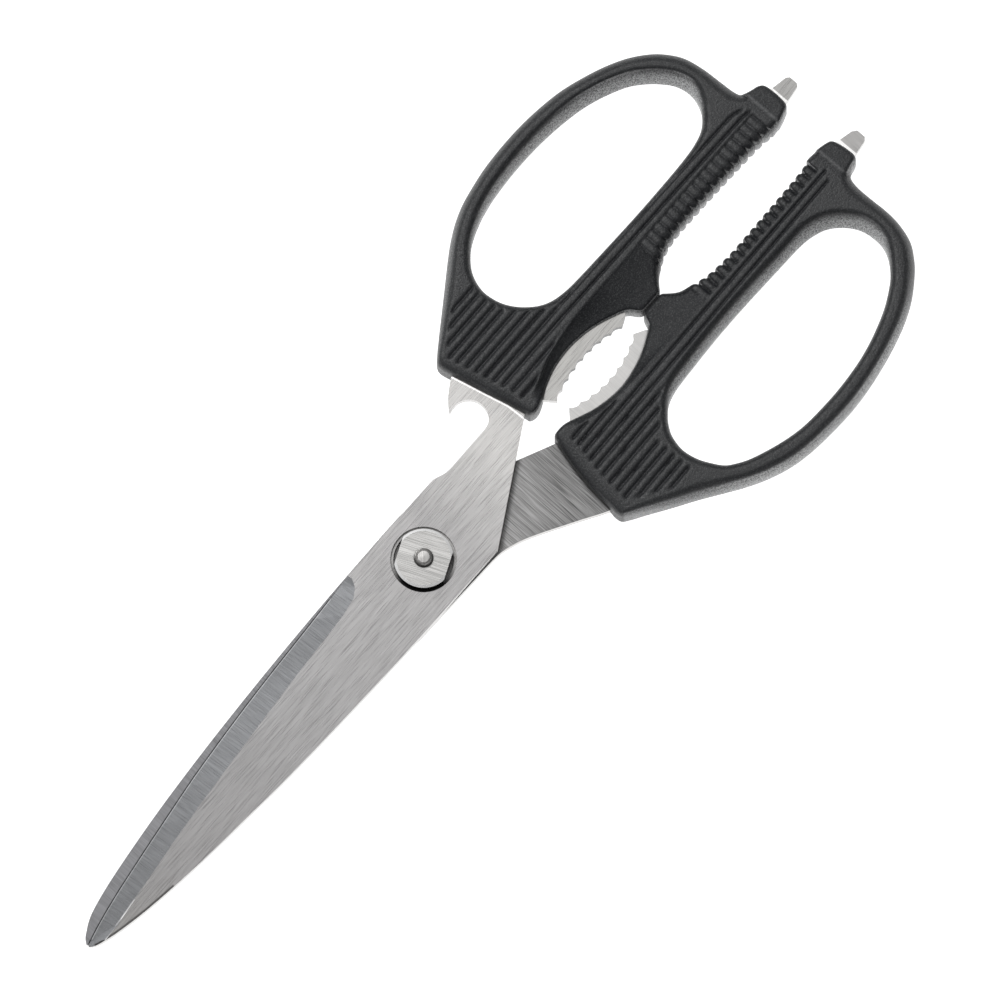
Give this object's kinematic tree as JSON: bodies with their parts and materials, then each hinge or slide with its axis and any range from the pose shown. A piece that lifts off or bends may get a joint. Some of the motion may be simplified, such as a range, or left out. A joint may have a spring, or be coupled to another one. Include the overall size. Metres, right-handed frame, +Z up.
{
  "type": "poultry shears",
  "caption": "Take-apart kitchen and poultry shears with full-length steel halves, moulded finger-loop grips, toothed jaws, bottle-opener hook and driver tips, turning on a keeper pivot.",
  "frame": {"origin": "on the pivot axis, at the flat back of the back blade, where the rivet's head lies flush", "axes": "+X from the pivot towards the grips, so the blade tips point to -X; +Y towards the front half's finger loop; +Z up, from the back half to the front half"},
  "size_m": [0.2508, 0.0976, 0.0123],
  "materials": {
    "front_steel": "fine lengthwise brushing on the faces, ground bevel, bright edges",
    "back_steel": "coarser brushing across the tang, ground bevel",
    "grip_plastic": "fine moulded grain, charcoal black",
    "keeper_steel": "fine circular brushing with a bright chamfer",
    "pivot_steel": "plain turned steel"
  },
  "bodies": {
    "back_half": {"back_blade": "back_steel", "back_handle": "grip_plastic", "journal_bush": "pivot_steel", "keeper_disc": "keeper_steel", "pivot_rivet": "pivot_steel"},
    "front_half": {"front_blade": "front_steel", "front_handle": "grip_plastic"}
  },
  "joints": [
    {"name": "pivot", "type": "hinge", "parent": "back_half", "child": "front_half", "pos_m": [0, 0, 0.00425], "axis": [0, 0, 1], "range_deg": [0, 100]}
  ]
}
